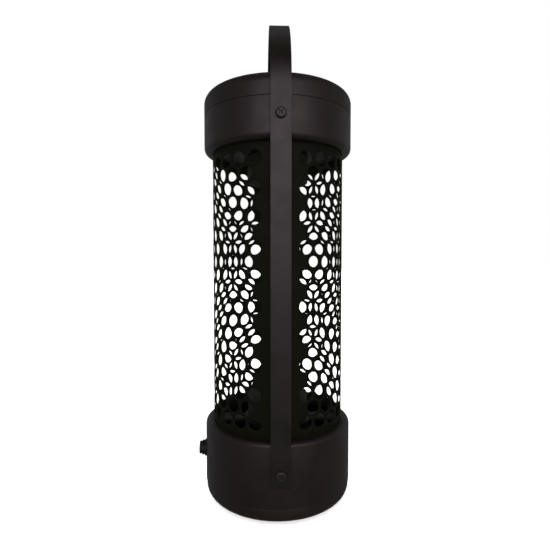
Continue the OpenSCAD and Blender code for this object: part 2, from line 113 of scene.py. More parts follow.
# %% [markdown]
# ## A studio of light
# The backdrop is pure white where the camera looks straight at it. What the black surfaces
# mirror is set apart from that: a glow that is stronger behind the object than in front of it
# draws a bright line down both sides, as a white sweep does. The wide panel in front makes
# the soft streak on the strap and the cap, and the low panel stands for light thrown up by
# the table. The floor has a light of its own, so that it stays white and casts no grey.

# %% World
world = bpy.data.worlds.new("studio")
world.use_nodes = True
sky = world.node_tree
sky.nodes.clear()
direction = add(sky, "ShaderNodeTexCoord").outputs["Generated"]
toward = add(sky, "ShaderNodeSeparateXYZ", {0: direction}).outputs
behind = add(sky, "ShaderNodeMapRange", {"Value": toward["Y"], "From Min": -0.5,
                                         "From Max": 0.8, "To Min": 0.16, "To Max": 0.30})
below = add(sky, "ShaderNodeMapRange", {"Value": toward["Z"], "From Min": -0.5,
                                        "From Max": 0.0, "To Min": 0.45, "To Max": 1.0})
overhead = add(sky, "ShaderNodeMapRange", {"Value": toward["Z"], "From Min": 0.25,
                                           "From Max": 0.85, "To Min": 1.0, "To Max": 0.25})
glow = add(sky, "ShaderNodeMath", {0: behind, 1: below}, operation="MULTIPLY")
glow = add(sky, "ShaderNodeMath", {0: glow, 1: overhead}, operation="MULTIPLY")
seen = add(sky, "ShaderNodeBackground", {"Color": (1, 1, 1, 1), "Strength": 1.0})
fill = add(sky, "ShaderNodeBackground", {"Color": (1, 1, 1, 1), "Strength": glow})
path = add(sky, "ShaderNodeLightPath")
mix = add(sky, "ShaderNodeMixShader", {0: path.outputs["Is Camera Ray"], 1: fill, 2: seen})
add(sky, "ShaderNodeOutputWorld", {"Surface": mix})
bpy.context.scene.world = world
bpy.context.scene.view_settings.view_transform = "Standard"
print("world nodes:", len(sky.nodes))

# %% [markdown]
# ### Soft boxes and the floor's own light
# Three rectangular soft boxes light the object: wide in front, small overhead, low in front.
# Light linking keeps the sun to the floor, which also takes no shadow from the object.

# %% Lights
def area_light(name, place, target, width, height, watts, colour=(1, 1, 1)):
    """Rectangular soft box that looks at a target point."""
    data = bpy.data.lights.new(name, "AREA")
    data.color = colour
    data.shape = "RECTANGLE"
    data.size, data.size_y = width, height
    data.energy = watts
    light = bpy.data.objects.new(name, data)
    light.location = place
    light.rotation_euler = (Vector(target) - Vector(place)).to_track_quat("-Z", "Y").to_euler()
    bpy.context.scene.collection.objects.link(light)
    return light


aim = (0, 0, 0.3)
area_light("front_panel", (0.1, -1.5, 0.68), aim, 2.4, 1.0, watts=12.8, colour=(1.0, 0.84, 0.90))
area_light("top_box", (0, 0.3, 1.6), aim, 0.8, 0.8, watts=0.3)
bounce = area_light("floor_bounce", (0.15, -0.8, 0.04), aim, 1.4, 0.3, watts=4.0,
                    colour=(1.0, 0.96, 0.86))
bounce.visible_glossy = False

floor_only = bpy.data.collections.new("floor_only")
sun_data = bpy.data.lights.new("floor_light", "SUN")
sun_data.energy = 5.5
sun_data.angle = math.radians(100)
sun = bpy.data.objects.new("floor_light", sun_data)
sun.light_linking.receiver_collection = floor_only
sun.light_linking.blocker_collection = floor_only
bpy.context.scene.collection.objects.link(sun)
print("lights:", len(bpy.data.lights))

# %% [markdown]
# ## Helpers for shapes
# Turned and moulded parts are drawn as a half outline and revolved. The outline lists only
# its corners, each with the radius that rounds it, so a lip or a fillet stays a true arc.

# %% Rounded outlines
def rounded(corners, steps=6):
    """Closed outline of (radius, height, rounding) corners; each rounding is drawn as an arc."""
    points = []
    for i, (x, z, r) in enumerate(corners):
        here = Vector((x, z))
        if r == 0:
            points.append(here)
            continue
        back = (Vector(corners[i - 1][:2]) - here).normalized()
        ahead = (Vector(corners[(i + 1) % len(corners)][:2]) - here).normalized()
        half = back.angle(ahead) / 2
        reach = r / math.tan(half)
        centre = here + (back + ahead).normalized() * r / math.sin(half)
        start, end = here + back * reach - centre, here + ahead * reach - centre
        turn = start.angle_signed(end)
        for k in range(steps + 1):
            points.append(centre + Matrix.Rotation(-turn * k / steps, 2) @ start)
    return points

# %% [markdown]
# ### Meshes
# `revolve` turns an outline as a lathe would, with single points on the axis, so that poles
# are closed. `smooth` keeps a crisp line only where a surface really turns a corner.

# %% Revolved and plain meshes
def new_object(name, mesh):
    """Object at the origin that holds a mesh."""
    piece = bpy.data.objects.new(name, mesh)
    bpy.context.scene.collection.objects.link(piece)
    return piece


def smooth(mesh, degrees=32):
    """Smooth shading with a hard line at every edge that turns more sharply."""
    work = bmesh.new()
    work.from_mesh(mesh)
    for face in work.faces:
        face.smooth = True
    for edge in work.edges:
        edge.smooth = not edge.is_manifold or edge.calc_face_angle() < math.radians(degrees)
    work.to_mesh(mesh)
    work.free()
    return mesh


def revolve(name, outline, steps=128):
    """Turns a closed outline of (radius, height) points round the Z axis."""
    work = bmesh.new()
    rings = []
    for point in outline:
        if point[0] < 1e-7:
            rings.append([work.verts.new((0, 0, point[1]))] * steps)
        else:
            rings.append([work.verts.new((point[0] * math.cos(2 * math.pi * k / steps),
                                          point[0] * math.sin(2 * math.pi * k / steps),
                                          point[1])) for k in range(steps)])
    for i, ring in enumerate(rings):
        above = rings[(i + 1) % len(rings)]
        for k in range(steps):
            corners = [ring[k], ring[(k + 1) % steps], above[(k + 1) % steps], above[k]]
            unique = list(dict.fromkeys(corners))
            if len(unique) > 2:
                work.faces.new(unique)
    bmesh.ops.recalc_face_normals(work, faces=work.faces)
    mesh = bpy.data.meshes.new(name)
    work.to_mesh(mesh)
    work.free()
    return new_object(name, smooth(mesh))


def block(name, low, high):
    """Box between two corners, used for cutting."""
    work = bmesh.new()
    made = bmesh.ops.create_cube(work, size=1)
    size, middle = Vector(high) - Vector(low), (Vector(high) + Vector(low)) / 2
    for vert in made["verts"]:
        vert.co = Vector(v * s for v, s in zip(vert.co, size)) + middle
    mesh = bpy.data.meshes.new(name)
    work.to_mesh(mesh)
    work.free()
    return new_object(name, mesh)

# %% [markdown]
# ### Cutting and softening
# Windows, notches and screw recesses are cut with booleans, and a narrow bevel then breaks
# the new edges. The result replaces the mesh, so that no modifier is left on a piece.

# %% Cuts and bevels
def apply_modifiers(piece, degrees=32):
    """Turns what the modifiers make into the piece's own mesh."""
    graph = bpy.context.evaluated_depsgraph_get()
    mesh = bpy.data.meshes.new_from_object(piece.evaluated_get(graph), depsgraph=graph)
    piece.modifiers.clear()
    piece.data = smooth(mesh, degrees)
    return piece


def cut(piece, cutters):
    """Cuts the shapes of other objects out of a piece and removes them."""
    for cutter in cutters:
        tool = piece.modifiers.new("cut", "BOOLEAN")
        tool.object = cutter
        tool.solver = "EXACT"
    apply_modifiers(piece)
    for cutter in cutters:
        bpy.data.objects.remove(cutter)
    return piece


def soften(piece, width, segments=2, degrees=40):
    """Rounds the sharp edges a little, as moulding, punching or deburring leaves them."""
    tool = piece.modifiers.new("soften", "BEVEL")
    tool.width = width
    tool.segments = segments
    tool.limit_method = "ANGLE"
    tool.angle_limit = math.radians(degrees)
    tool.use_clamp_overlap = True
    return apply_modifiers(piece, 60)

# %% [markdown]
# ### Handing a piece over
# Each piece gets one finish, rides on the body that carries it when the tray or the lid
# moves, and names the working nodes that it stands for.

# %% Finish and body
def finish(piece, body, slot, material, *nodes):
    """Gives a piece its finish, its body and the working nodes it stands for."""
    piece.data.materials.clear()
    piece.data.materials.append(material)
    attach(piece, body)
    if nodes:
        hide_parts(*nodes)
    print(f"{piece.name}: {len(piece.data.polygons)} faces")
    return piece

# %% [markdown]
# ## Geometry Nodes helpers
# Anything that repeats is one small shape put on many points. `tree_of` starts a tree with
# named sizes, `grow` runs it on an object and keeps the plain mesh that comes out.

# %% Geometry Nodes helpers
def tree_of(name, **sockets):
    """Empty Geometry Nodes tree with one named input for each keyword."""
    tree = bpy.data.node_groups.new(name, "GeometryNodeTree")
    tree.is_modifier = True
    tree.interface.new_socket("Geometry", in_out="INPUT", socket_type="NodeSocketGeometry")
    for label, kind in sockets.items():
        tree.interface.new_socket(label.replace("_", " "), in_out="INPUT",
                                  socket_type="NodeSocket" + kind)
    tree.interface.new_socket("Geometry", in_out="OUTPUT", socket_type="NodeSocketGeometry")
    return tree, add(tree, "NodeGroupInput").outputs


def grow(piece, tree, **values):
    """Runs a tree on a piece and keeps the resulting plain mesh."""
    tool = piece.modifiers.new("grow", "NODES")
    tool.node_group = tree
    for item in tree.interface.items_tree:
        key = item.name.replace(" ", "_")
        if item.in_out == "INPUT" and key in values:
            tool[item.identifier] = values[key]
    return apply_modifiers(piece)


# %% [markdown]
# ### Copies of one shape
# Screws, bosses, rods, collars and feet are each one shape on a few points. Every point
# carries its own turn, as three angles.

# %% Tree that copies a shape
copies, given = tree_of("Copies on points", Shape="Object", Finish="Material")
turn = add(copies, "GeometryNodeInputNamedAttribute", {"Name": "turn"}, data_type="FLOAT_VECTOR")
shape = add(copies, "GeometryNodeObjectInfo", {"Object": given["Shape"]})
placed = add(copies, "GeometryNodeInstanceOnPoints", {
    "Points": given["Geometry"], "Instance": shape.outputs["Geometry"],
    "Rotation": turn.outputs["Attribute"]})
real = add(copies, "GeometryNodeRealizeInstances", {"Geometry": placed})
coated = add(copies, "GeometryNodeSetMaterial", {"Geometry": real, "Material": given["Finish"]})
add(copies, "NodeGroupOutput", {"Geometry": coated})


def repeat(name, shape, places, material):
    """Puts a shape on each (position, euler turn) and removes the single shape."""
    mesh = bpy.data.meshes.new(name)
    mesh.from_pydata([place for place, _ in places], [], [])
    turns = mesh.attributes.new("turn", "FLOAT_VECTOR", "POINT")
    for i, (_, angles) in enumerate(places):
        turns.data[i].vector = angles
    piece = grow(new_object(name, mesh), copies, Shape=shape, Finish=material)
    bpy.data.objects.remove(shape)
    return piece


def around(count, radius, height, start=0.0):
    """Places on a circle about the Z axis, each turned to face outwards."""
    places = []
    for i in range(count):
        a = start + 2 * math.pi * i / count
        places.append(((radius * math.cos(a), radius * math.sin(a), height), (0, 0, a)))
    return places


# %% [markdown]
# ## Finishes
# Nearly everything here is black, and black parts only look real when their surfaces differ:
# the moulded ABS has a fine spark-eroded grain, the strap a thicker powder coat with orange
# peel, the cage a thin stoved enamel. Each pattern is sized from the real texture, but a
# grain of less than a tenth of a millimetre would vanish, so it is drawn three to five times
# as coarse. `patch` is the size of the faint cloudiness of handling and of uneven gloss.
# The emission argument is painted light: a faint olive glow, so that a dull coat's shaded parts
# never go fully black.

# %% Material helper
def surface(name, colour, roughness, metallic=0.0, ior=1.5, variation=0.15, patch=18 * mm,
            grain=0.35 * mm, relief=0.02, spread=0.08, specular=0.5, painted_glow=0.0):
    """Principled surface whose shade, gloss and relief vary at the scales of the real finish."""
    material = bpy.data.materials.new(name)
    material.use_nodes = True
    tree = material.node_tree
    tree.nodes.clear()
    place = add(tree, "ShaderNodeTexCoord").outputs["Object"]
    broad = add(tree, "ShaderNodeTexNoise", {"Vector": place, "Scale": 1 / patch, "Detail": 4.0,
                                             "Roughness": 0.6}).outputs["Fac"]
    fine = add(tree, "ShaderNodeTexNoise", {"Vector": place, "Scale": 1 / grain,
                                            "Detail": 2.0}).outputs["Fac"]
    base = linear(colour)
    dark = [c * (1 - variation) for c in base[:3]] + [1]
    pale = [c * (1 + variation) for c in base[:3]] + [1]
    shade = add(tree, "ShaderNodeMix", {0: broad, 6: dark, 7: pale}, data_type="RGBA")
    gloss = add(tree, "ShaderNodeMapRange", {"Value": broad, "From Min": 0.3, "From Max": 0.7,
                                             "To Min": roughness - spread,
                                             "To Max": roughness + spread})
    bump = add(tree, "ShaderNodeBump", {"Height": fine, "Strength": 0.6,
                                        "Distance": relief * mm})
    # The emission is painted light: a faint olive glow that lifts the coat's shade, zero unless
    # asked for.
    shader = add(tree, "ShaderNodeBsdfPrincipled", {
        "Base Color": shade.outputs[2], "Roughness": gloss, "Metallic": metallic,
        "IOR": ior, "Specular IOR Level": specular, "Normal": bump,
        "Emission Color": linear("#8a9060"), "Emission Strength": painted_glow})
    add(tree, "ShaderNodeOutputMaterial", {"Surface": shader})
    return material


# %% [markdown]
# Each finish is named for its material and how it was made. The blacks are not the same
# black: the mouldings lean to red, the enamel on the cage to olive, and the strap is a little
# paler, because powder coat is never as deep as moulded-in colour.

# %% The finishes
# Moulded in a spark-eroded tool: the grain spreads each highlight into a soft sheen.
moulded_abs = surface("moulded ABS, satin black", "#1d1717", 0.46, relief=0.025)
# The lid is the band's own ABS; its slightly darker colour is painted shade for its top, which
# curves away from the front light.
lid_abs_painted_shade = surface("moulded ABS, lid", "#1a1514", 0.5, relief=0.025)
# Baked powder flows into orange peel, which breaks up the strap's long streak of light.
powder_coat = surface("powder-coated steel", "#181414", 0.4, grain=1.6 * mm, relief=0.05)
# A thin, dull, baked film with hardly a highlight.
# Its faint olive glow is painted light, which lifts the shade behind the holes, so sheet and
# shade run into one dark net.
stoved_enamel = surface("stoved enamel on steel sheet", "#0a0b08", 0.6, grain=0.9 * mm,
                        specular=0.08, painted_glow=0.009)
# Oiled and heated: slightly glossier and paler than the coat of the strap round it.
blacked_steel = surface("blacked steel screw", "#242120", 0.38, grain=0.5 * mm)
# Filled resin from a hot mould: greyish, and dull on its flat faces.
# It has the same faint olive glow, painted light that lifts the shade on the hubs inside the
# cage.
phenolic = surface("moulded phenolic", "#2e2f27", 0.6, grain=0.4 * mm, specular=0.3,
                   painted_glow=0.008)
# Nylon is waxy, rubber dead matt.
nylon = surface("moulded nylon", "#141413", 0.5)
rubber = surface("moulded rubber", "#161616", 0.8, grain=0.6 * mm)
socket_pbt = surface("moulded PBT, cream", "#d9d4c6", 0.4, variation=0.04)
# Bare metals: drawn ones show a narrow, bright line, plated ones a cloudy sparkle.
brushed_steel = surface("drawn steel rod", "#8f9194", 0.32, metallic=1.0, grain=0.3 * mm)
zinc_plate = surface("zinc-plated steel", "#a9abad", 0.34, metallic=1.0)
brass = surface("stamped brass", "#b8965a", 0.3, metallic=1.0)
aluminium = surface("drawn aluminium", "#c4c6c8", 0.3, metallic=1.0)
# The white powder inside the glass hides what is behind it: a milky tube with a clear gloss.
phosphor_glass = surface("phosphor-coated glass", "#cfcde0", 0.12, variation=0.05, relief=0.0)
# The power supply and the lamp's gear keep the usual colours of such parts.
laminate = surface("glass-fibre laminate", "#2d5a2f", 0.35, variation=0.08)
film_resin = surface("dipped film capacitor", "#a8531f", 0.25, variation=0.08)
epoxy = surface("moulded epoxy", "#1d1d1e", 0.4)
ferrite = surface("sintered ferrite", "#4b463f", 0.7)
fuse_glass = surface("glass fuse", "#c9d0d4", 0.1, variation=0.05)
core_plate = surface("laminated core steel", "#74787b", 0.4, metallic=1.0)
coil_varnish = surface("varnished copper winding", "#7d3d1b", 0.3, grain=0.5 * mm, relief=0.1)
starter_pc = surface("white polycarbonate can", "#dcdcd6", 0.35, variation=0.03)
wire_red = surface("red wire insulation", "#7c2a1e", 0.45)
wire_pale = surface("pale wire insulation", "#c9c1a8", 0.45)
print("finishes:", len(bpy.data.materials))

# %% [markdown]
# ## The perforated cage
# A real cage starts as a flat sheet. A press punches staggered rows of round holes, the strip
# behind each strap leg is left plain, and the sheet is then rolled and closed at the back.
# The script works in the same order: one hexagonal cell with its hole is copied over the
# lattice, the flat pattern is rolled, its straight edges are drawn out, and only then does
# the sheet get its thickness. A boolean with four hundred cylinders would be slower and
# would leave long thin triangles, while cells give every hole the same clean ring of faces.

# %% Sizes of the cage
cage_low, cage_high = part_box("cage_tube")
cage_r = (cage_high.x - cage_low.x) / 2
cage_foot, cage_top = cage_low.z, cage_high.z
cage_seat = 3 * mm
sheet_t = 0.8 * mm
hole_r = 11.3 / 2 * mm
hole_pitch = 14 * mm
row_pitch = 11.75 * mm
edge_margin = 11 * mm
plain_band = 24 * mm
shown = cage_top - cage_foot - 2 * cage_seat
rows = math.floor((shown - 2 * edge_margin) / row_pitch + 1e-6) + 1
holes_round = 2 * round(math.pi * cage_r / hole_pitch)
step = 2 * math.pi * cage_r / holes_round
first_row = cage_foot + cage_seat + (shown - (rows - 1) * row_pitch) / 2
print(f"cage: {rows} rows, {holes_round} places round, {step / mm:.2f} mm apart")


# %% [markdown]
# ### One cell
# A staggered row of round holes is a honeycomb with a hole in each cell. The plain cell has
# the same rim, so both kinds meet edge to edge and the plain bands need no special case.

# %% One cell of the lattice
def cell(name, filled, parts=5):
    """Hexagonal cell of the staggered lattice, flat in X and Y, its hole open or filled."""
    tall = (step ** 2 / 4 + row_pitch ** 2) / (2 * row_pitch)
    low = row_pitch - tall
    hexagon = [Vector((step / 2, -low)), Vector((step / 2, low)), Vector((0, tall)),
               Vector((-step / 2, low)), Vector((-step / 2, -low)), Vector((0, -tall))]
    rim = [hexagon[i].lerp(hexagon[(i + 1) % 6], k / parts) for i in range(6)
           for k in range(parts)]
    inner = [point.normalized() * hole_r for point in rim]
    count = len(rim)
    verts = [(*p, 0) for p in rim] + [(*p, 0) for p in inner]
    faces = [(k, (k + 1) % count, count + (k + 1) % count, count + k) for k in range(count)]
    mesh = bpy.data.meshes.new(name)
    if filled:
        verts.append((0, 0, 0))
        faces += [(count + k, count + (k + 1) % count, 2 * count) for k in range(count)]
    mesh.from_pydata(verts, [], faces)
    edge = mesh.attributes.new("rim", "FLOAT", "POINT")
    for k in range(count):
        edge.data[k].value = 1.0
    return new_object(name, mesh)


punched_cell = cell("punched_cell", filled=False)
plain_cell = cell("plain_cell", filled=True)

# %% [markdown]
# ### Laying out the flat sheet
# The tree starts from a plain grid of points and moves every other row by half a step. The
# number of places round is a whole number, so the rolled pattern meets itself without a gap.

# %% Staggered grid of places
sheet, given = tree_of("Rolled perforated sheet", Punched="Object", Plain="Object",
                       Places="Int", Rows="Int", Step="Float", Row_pitch="Float",
                       Radius="Float", Half_band="Float", First_row="Float", Foot="Float",
                       Top="Float", Finish="Material")
gaps = add(sheet, "ShaderNodeMath", {0: given["Places"], 1: 1.0}, operation="SUBTRACT")
wide = add(sheet, "ShaderNodeMath", {0: gaps, 1: given["Step"]}, operation="MULTIPLY")
gaps = add(sheet, "ShaderNodeMath", {0: given["Rows"], 1: 1.0}, operation="SUBTRACT")
high = add(sheet, "ShaderNodeMath", {0: gaps, 1: given["Row pitch"]}, operation="MULTIPLY")
grid = add(sheet, "GeometryNodeMeshGrid", {"Size X": wide, "Size Y": high,
                                           "Vertices X": given["Places"],
                                           "Vertices Y": given["Rows"]})
spot = add(sheet, "GeometryNodeInputPosition")
xyz = add(sheet, "ShaderNodeSeparateXYZ", {0: spot}).outputs
up = add(sheet, "ShaderNodeMath", {0: high, 1: 0.5, 2: xyz["Y"]}, operation="MULTIPLY_ADD")
row = add(sheet, "ShaderNodeMath", {0: up, 1: given["Row pitch"]}, operation="DIVIDE")
row = add(sheet, "ShaderNodeMath", {0: row}, operation="ROUND")
odd = add(sheet, "ShaderNodeMath", {0: row, 1: 2.0}, operation="MODULO")
even = add(sheet, "ShaderNodeMath", {0: 1.0, 1: odd}, operation="SUBTRACT")
shift = add(sheet, "ShaderNodeMath", {0: given["Step"], 1: 0.5}, operation="MULTIPLY")
along = add(sheet, "ShaderNodeMath", {0: wide, 1: 0.5, 2: xyz["X"]}, operation="MULTIPLY_ADD")
along = add(sheet, "ShaderNodeMath", {0: even, 1: shift, 2: along}, operation="MULTIPLY_ADD")
height = add(sheet, "ShaderNodeMath", {0: up, 1: given["First row"]}, operation="ADD")
flat_place = add(sheet, "ShaderNodeCombineXYZ", {"X": along, "Y": height})
lattice = add(sheet, "GeometryNodeSetPosition", {"Geometry": grid, "Position": flat_place})
print("lattice nodes:", len(sheet.nodes))

# %% [markdown]
# ### Which places are punched
# The distance along the sheet from the nearer strap leg decides it. The front leg is where
# the sheet starts and ends, and the back leg is half way along. Each place gets one cell.

# %% Punched and plain cells on the lattice
length = add(sheet, "ShaderNodeMath", {0: given["Places"], 1: given["Step"]},
             operation="MULTIPLY")
half_way = add(sheet, "ShaderNodeMath", {0: length, 1: 0.5}, operation="MULTIPLY")
to_end = add(sheet, "ShaderNodeMath", {0: length, 1: xyz["X"]}, operation="SUBTRACT")
from_front = add(sheet, "ShaderNodeMath", {0: xyz["X"], 1: to_end}, operation="MINIMUM")
from_front = add(sheet, "ShaderNodeMath", {0: from_front}, operation="ABSOLUTE")
from_back = add(sheet, "ShaderNodeMath", {0: xyz["X"], 1: half_way}, operation="SUBTRACT")
from_back = add(sheet, "ShaderNodeMath", {0: from_back}, operation="ABSOLUTE")
from_leg = add(sheet, "ShaderNodeMath", {0: from_front, 1: from_back}, operation="MINIMUM")
punch = add(sheet, "ShaderNodeMath", {0: from_leg, 1: given["Half band"]},
            operation="GREATER_THAN")
keep = add(sheet, "ShaderNodeMath", {0: 1.0, 1: punch}, operation="SUBTRACT")
joined = add(sheet, "GeometryNodeJoinGeometry")
for label, chosen in (("Punched", punch), ("Plain", keep)):
    source = add(sheet, "GeometryNodeObjectInfo", {"Object": given[label]})
    laid = add(sheet, "GeometryNodeInstanceOnPoints", {
        "Points": lattice, "Selection": chosen, "Instance": source.outputs["Geometry"]})
    sheet.links.new(laid.outputs[0], joined.inputs[0])
flat = add(sheet, "GeometryNodeRealizeInstances", {"Geometry": joined})
print("with the cells:", len(sheet.nodes))

# %% [markdown]
# ### Rolling
# Rolling turns the distance along the sheet into an angle about the Z axis, starting at the
# front. Neighbouring cells, and the two ends of the sheet, are then joined point to point.

# %% Roll the flat sheet and join its cells
angle = add(sheet, "ShaderNodeMath", {0: xyz["X"], 1: given["Radius"]}, operation="DIVIDE")
sine = add(sheet, "ShaderNodeMath", {0: angle}, operation="SINE")
cosine = add(sheet, "ShaderNodeMath", {0: angle}, operation="COSINE")
forward = add(sheet, "ShaderNodeMath", {0: given["Radius"], 1: -1.0}, operation="MULTIPLY")
rolled_x = add(sheet, "ShaderNodeMath", {0: sine, 1: given["Radius"]}, operation="MULTIPLY")
rolled_y = add(sheet, "ShaderNodeMath", {0: cosine, 1: forward}, operation="MULTIPLY")
rolled_place = add(sheet, "ShaderNodeCombineXYZ", {"X": rolled_x, "Y": rolled_y, "Z": xyz["Y"]})
rolled = add(sheet, "GeometryNodeSetPosition", {"Geometry": flat, "Position": rolled_place})
joint_gap = 0.02 * mm
closed = add(sheet, "GeometryNodeMergeByDistance", {"Geometry": rolled, "Distance": joint_gap})

# %% [markdown]
# ### Straight ends
# A honeycomb ends in a zigzag, and a real sheet is sheared straight. The open rim edges at
# each end are extruded, and the new points are set to the height of that end.

# %% Draw the two ends out straight
middle = add(sheet, "ShaderNodeMath", {0: given["Foot"], 1: given["Top"]}, operation="ADD")
middle = add(sheet, "ShaderNodeMath", {0: middle, 1: 0.5}, operation="MULTIPLY")
faces = add(sheet, "GeometryNodeInputMeshEdgeNeighbors")
open_edge = add(sheet, "ShaderNodeMath", {0: faces, 1: 1.5}, operation="LESS_THAN")
on_rim = add(sheet, "GeometryNodeInputNamedAttribute", {"Name": "rim"}, data_type="FLOAT")
outer_edge = add(sheet, "ShaderNodeMath", {0: on_rim.outputs["Attribute"], 1: 0.99},
                 operation="GREATER_THAN")
rim_edge = add(sheet, "ShaderNodeMath", {0: open_edge, 1: outer_edge}, operation="MULTIPLY")
for target, test in (("Foot", "LESS_THAN"), ("Top", "GREATER_THAN")):
    this_end = add(sheet, "ShaderNodeMath", {0: xyz["Z"], 1: middle}, operation=test)
    chosen = add(sheet, "ShaderNodeMath", {0: rim_edge, 1: this_end}, operation="MULTIPLY")
    drawn = add(sheet, "GeometryNodeExtrudeMesh", {"Mesh": closed, "Selection": chosen,
                                                   "Offset Scale": 0.0}, mode="EDGES")
    straight = add(sheet, "ShaderNodeCombineXYZ", {"X": xyz["X"], "Y": xyz["Y"],
                                                   "Z": given[target]})
    closed = add(sheet, "GeometryNodeSetPosition", {
        "Geometry": drawn.outputs["Mesh"], "Selection": drawn.outputs["Top"],
        "Position": straight})
coated = add(sheet, "GeometryNodeSetMaterial", {"Geometry": closed, "Material": given["Finish"]})
add(sheet, "NodeGroupOutput", {"Geometry": coated})
print("whole tree:", len(sheet.nodes), "nodes")

# %% [markdown]
# ### The sheet itself
# The gauge is added inwards from the rolled face, so the outside keeps the size of the
# working model. Punching leaves a small roll on each hole's edge, which is what glints.

# %% Grow the cage and give the sheet its thickness
cage = grow(new_object("perforated_cage", bpy.data.meshes.new("perforated_cage")), sheet,
            Punched=punched_cell, Plain=plain_cell, Places=holes_round, Rows=rows, Step=step,
            Row_pitch=row_pitch, Radius=cage_r, Half_band=plain_band / 2 + hole_r,
            First_row=first_row, Foot=cage_foot, Top=cage_top, Finish=stoved_enamel)
for single in (punched_cell, plain_cell):
    bpy.data.objects.remove(single)
work = bmesh.new()
work.from_mesh(cage.data)
bmesh.ops.recalc_face_normals(work, faces=work.faces)
outward = sum(f.normal.dot(Vector((f.calc_center_median().x, f.calc_center_median().y, 0)))
              for f in work.faces)
if outward < 0:
    bmesh.ops.reverse_faces(work, faces=work.faces)
work.to_mesh(cage.data)
work.free()
gauge = cage.modifiers.new("gauge", "SOLIDIFY")
gauge.thickness = sheet_t
gauge.offset = -1
apply_modifiers(cage)
soften(cage, 0.14 * mm, segments=1, degrees=50)
finish(cage, "frame", "cage_sheet", stoved_enamel, "cage_tube")
print("cage box", [round(v / mm, 2) for v in cage.dimensions])

# %% [markdown]
# ## Base, tray and feet
# The base is a moulded ring with a rounded upper edge, and a deck plate is glued up into its
# flange. Four windows in the deck let dead insects drop into the tray. Both are revolved
# outlines, since the real tools are turned, and windows and notches are cut afterwards.

# %% Base housing
tray_low, tray_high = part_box("catch_tray")
base_low, base_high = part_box("base_housing")
body_r = base_high.x
wall = 2.5 * mm
inner_r = body_r - wall
deck_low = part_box("deck_plate")[0]
play = 0.4 * mm
hairline = 0.2 * mm
glue_gap = 0.1 * mm
groove_in, groove_out = cage_r - sheet_t - glue_gap, cage_r + glue_gap
flange_r = cage_r + 1.7 * mm
shoulder_r = flange_r + 1.5 * mm
shoulder_z = deck_low.z + 2.5 * mm
window_in, window_out, window_angle = 31 * mm, 53 * mm, 70
notch_deep, notch_half_w = 0.8 * mm, 9 * mm

base_shell = revolve("base_housing_shell", rounded([
    (flange_r, base_high.z, 0.3 * mm),
    (body_r, base_high.z, 3.8 * mm),
    (body_r, base_low.z, 0.3 * mm),
    (inner_r, base_low.z, 0.3 * mm),
    (inner_r, deck_low.z, 0.6 * mm),
    (shoulder_r, deck_low.z, 0.2 * mm),
    (shoulder_r, shoulder_z, 0),
    (flange_r, shoulder_z, 0.2 * mm)]), 160)
deck = revolve("deck_plate_shell", rounded([
    (0, base_high.z, 0),
    (groove_in, base_high.z, 0.2 * mm),
    (groove_in, cage_foot, 0),
    (groove_out, cage_foot, 0),
    (groove_out, base_high.z, 0.2 * mm),
    (flange_r - glue_gap, base_high.z, 0.3 * mm),
    (flange_r - glue_gap, shoulder_z - glue_gap, 0),
    (shoulder_r - glue_gap, shoulder_z - glue_gap, 0.2 * mm),
    (shoulder_r - glue_gap, deck_low.z, 0.3 * mm),
    (0, deck_low.z, 0)], 3), 160)


def sector(name, r_in, r_out, low, high, start, angle, steps=24):
    """Closed piece of an upright ring, used for cutting windows and grooves."""
    work = bmesh.new()
    walls = []
    for k in range(steps + 1):
        a = math.radians(start + angle * k / steps)
        walls.append([work.verts.new((r * math.cos(a), r * math.sin(a), z))
                      for r, z in ((r_in, low), (r_out, low), (r_out, high), (r_in, high))])
    for here, ahead in zip(walls, walls[1:]):
        for i in range(4):
            work.faces.new((here[i], here[(i + 1) % 4], ahead[(i + 1) % 4], ahead[i]))
    work.faces.new(walls[0])
    work.faces.new(walls[-1])
    bmesh.ops.recalc_face_normals(work, faces=work.faces)
    mesh = bpy.data.meshes.new(name)
    work.to_mesh(mesh)
    work.free()
    return new_object(name, mesh)


windows = [sector("window", window_in, window_out, base_high.z - 7 * mm,
                  base_high.z + 1 * mm, corner - window_angle / 2, window_angle)
           for corner in (45, 135, 225, 315)]
notches = [block("notch",
                 (side * body_r - notch_deep, -notch_half_w, base_low.z + 1.5 * mm),
                 (side * body_r + notch_deep, notch_half_w, base_low.z + 6 * mm))
           for side in (-1, 1)]
cut(base_shell, notches)
soften(base_shell, 0.3 * mm)
finish(base_shell, "frame", "housing_plastic", moulded_abs, "base_housing")
cut(deck, windows)
soften(deck, 0.3 * mm)
finish(deck, "frame", "housing_plastic", moulded_abs, "deck_plate")

# %% [markdown]
# The strap's screws pass through short bosses behind the wall, where their nuts sit. The same
# boss serves the base and, further down, the cap.

# %% Bosses that the strap screws pass through
def middle_height(node):
    """Height of the middle of a working piece."""
    low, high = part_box(node)
    return (low.z + high.z) / 2


lower_screw_z = middle_height("strap_screws_lower")
upper_screw_z = middle_height("strap_screws_upper")
out_front, out_back = (math.pi / 2, 0, 0), (-math.pi / 2, 0, 0)


def on_strap(radius, height):
    """Places on the front and the back strap leg, +Z turned outwards."""
    return [((0, -radius, height), out_front), ((0, radius, height), out_back)]


def strap_bosses(name, height, bore_r=2.1 * mm, boss_r=5 * mm, length=6 * mm, root=0.9 * mm):
    """Two bosses that stand inwards from a housing's wall, rooted in it."""
    boss = revolve("boss", rounded([
        (bore_r, -length, 0.2 * mm), (boss_r, -length, 0.6 * mm), (boss_r, root, 0),
        (bore_r, root, 0)], 3), 32)
    pair = repeat(name, boss, on_strap(inner_r, height), moulded_abs)
    return finish(pair, "frame", "housing_plastic", moulded_abs)


strap_bosses("base_bosses", lower_screw_z)

# %% [markdown]
# ### Catch tray
# A shallow pan with a large outside radius, because it is the edge that the object is set
# down on. Its rim is thinner than its floor and fits inside the base. Beds for the feet are
# sunk in the underside.

